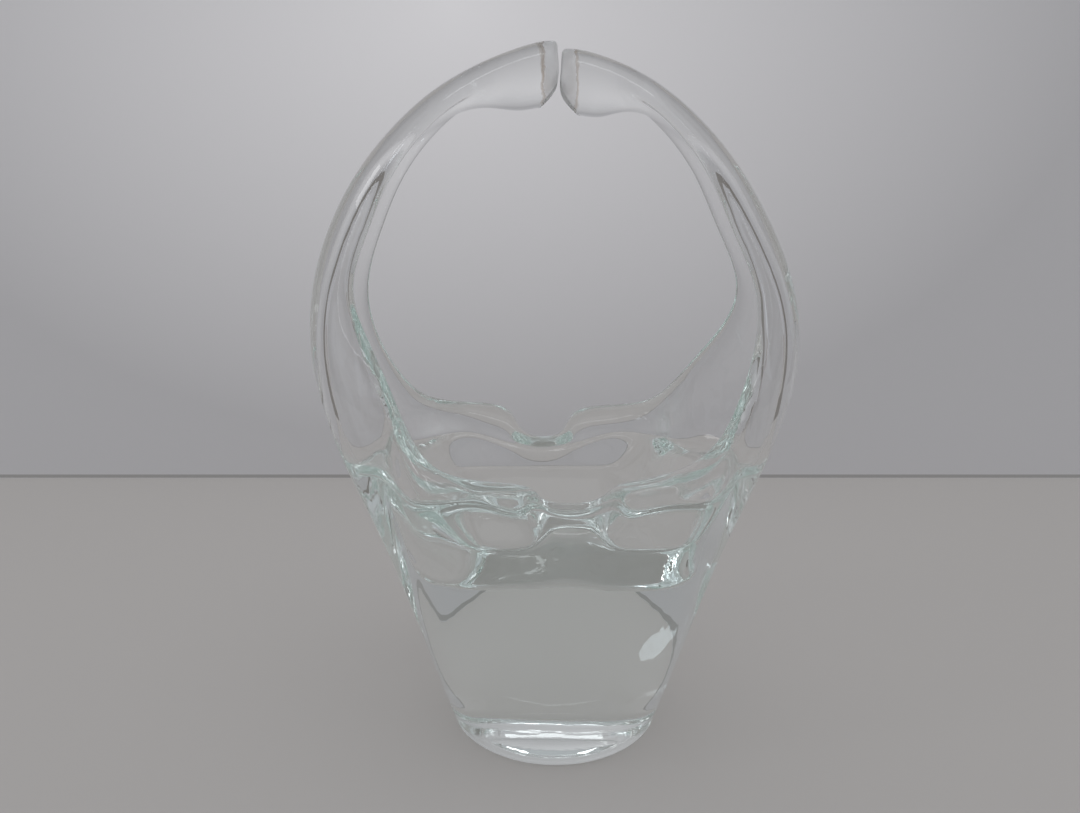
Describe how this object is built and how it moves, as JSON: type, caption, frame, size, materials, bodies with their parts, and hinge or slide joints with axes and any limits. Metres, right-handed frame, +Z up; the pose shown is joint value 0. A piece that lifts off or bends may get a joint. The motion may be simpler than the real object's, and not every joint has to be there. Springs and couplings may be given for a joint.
{
  "type": "glass basket",
  "caption": "Clear blown-glass basket: a heavy solid foot and lower body, a shallow flared bowl with notched front and back rims, and side walls drawn up into two arms that almost meet in an arched handle.",
  "frame": {"origin": "middle of the foot's flat resting face", "axes": "+X towards the right arm, +Y towards the back notch, +Z up"},
  "size_m": [0.1723, 0.116, 0.2431],
  "materials": {
    "clear_glass": "clear, fire-polished, with a faint aqua tint where the glass is thick"
  },
  "bodies": {
    "root": {"basket": "clear_glass"}
  },
  "joints": []
}
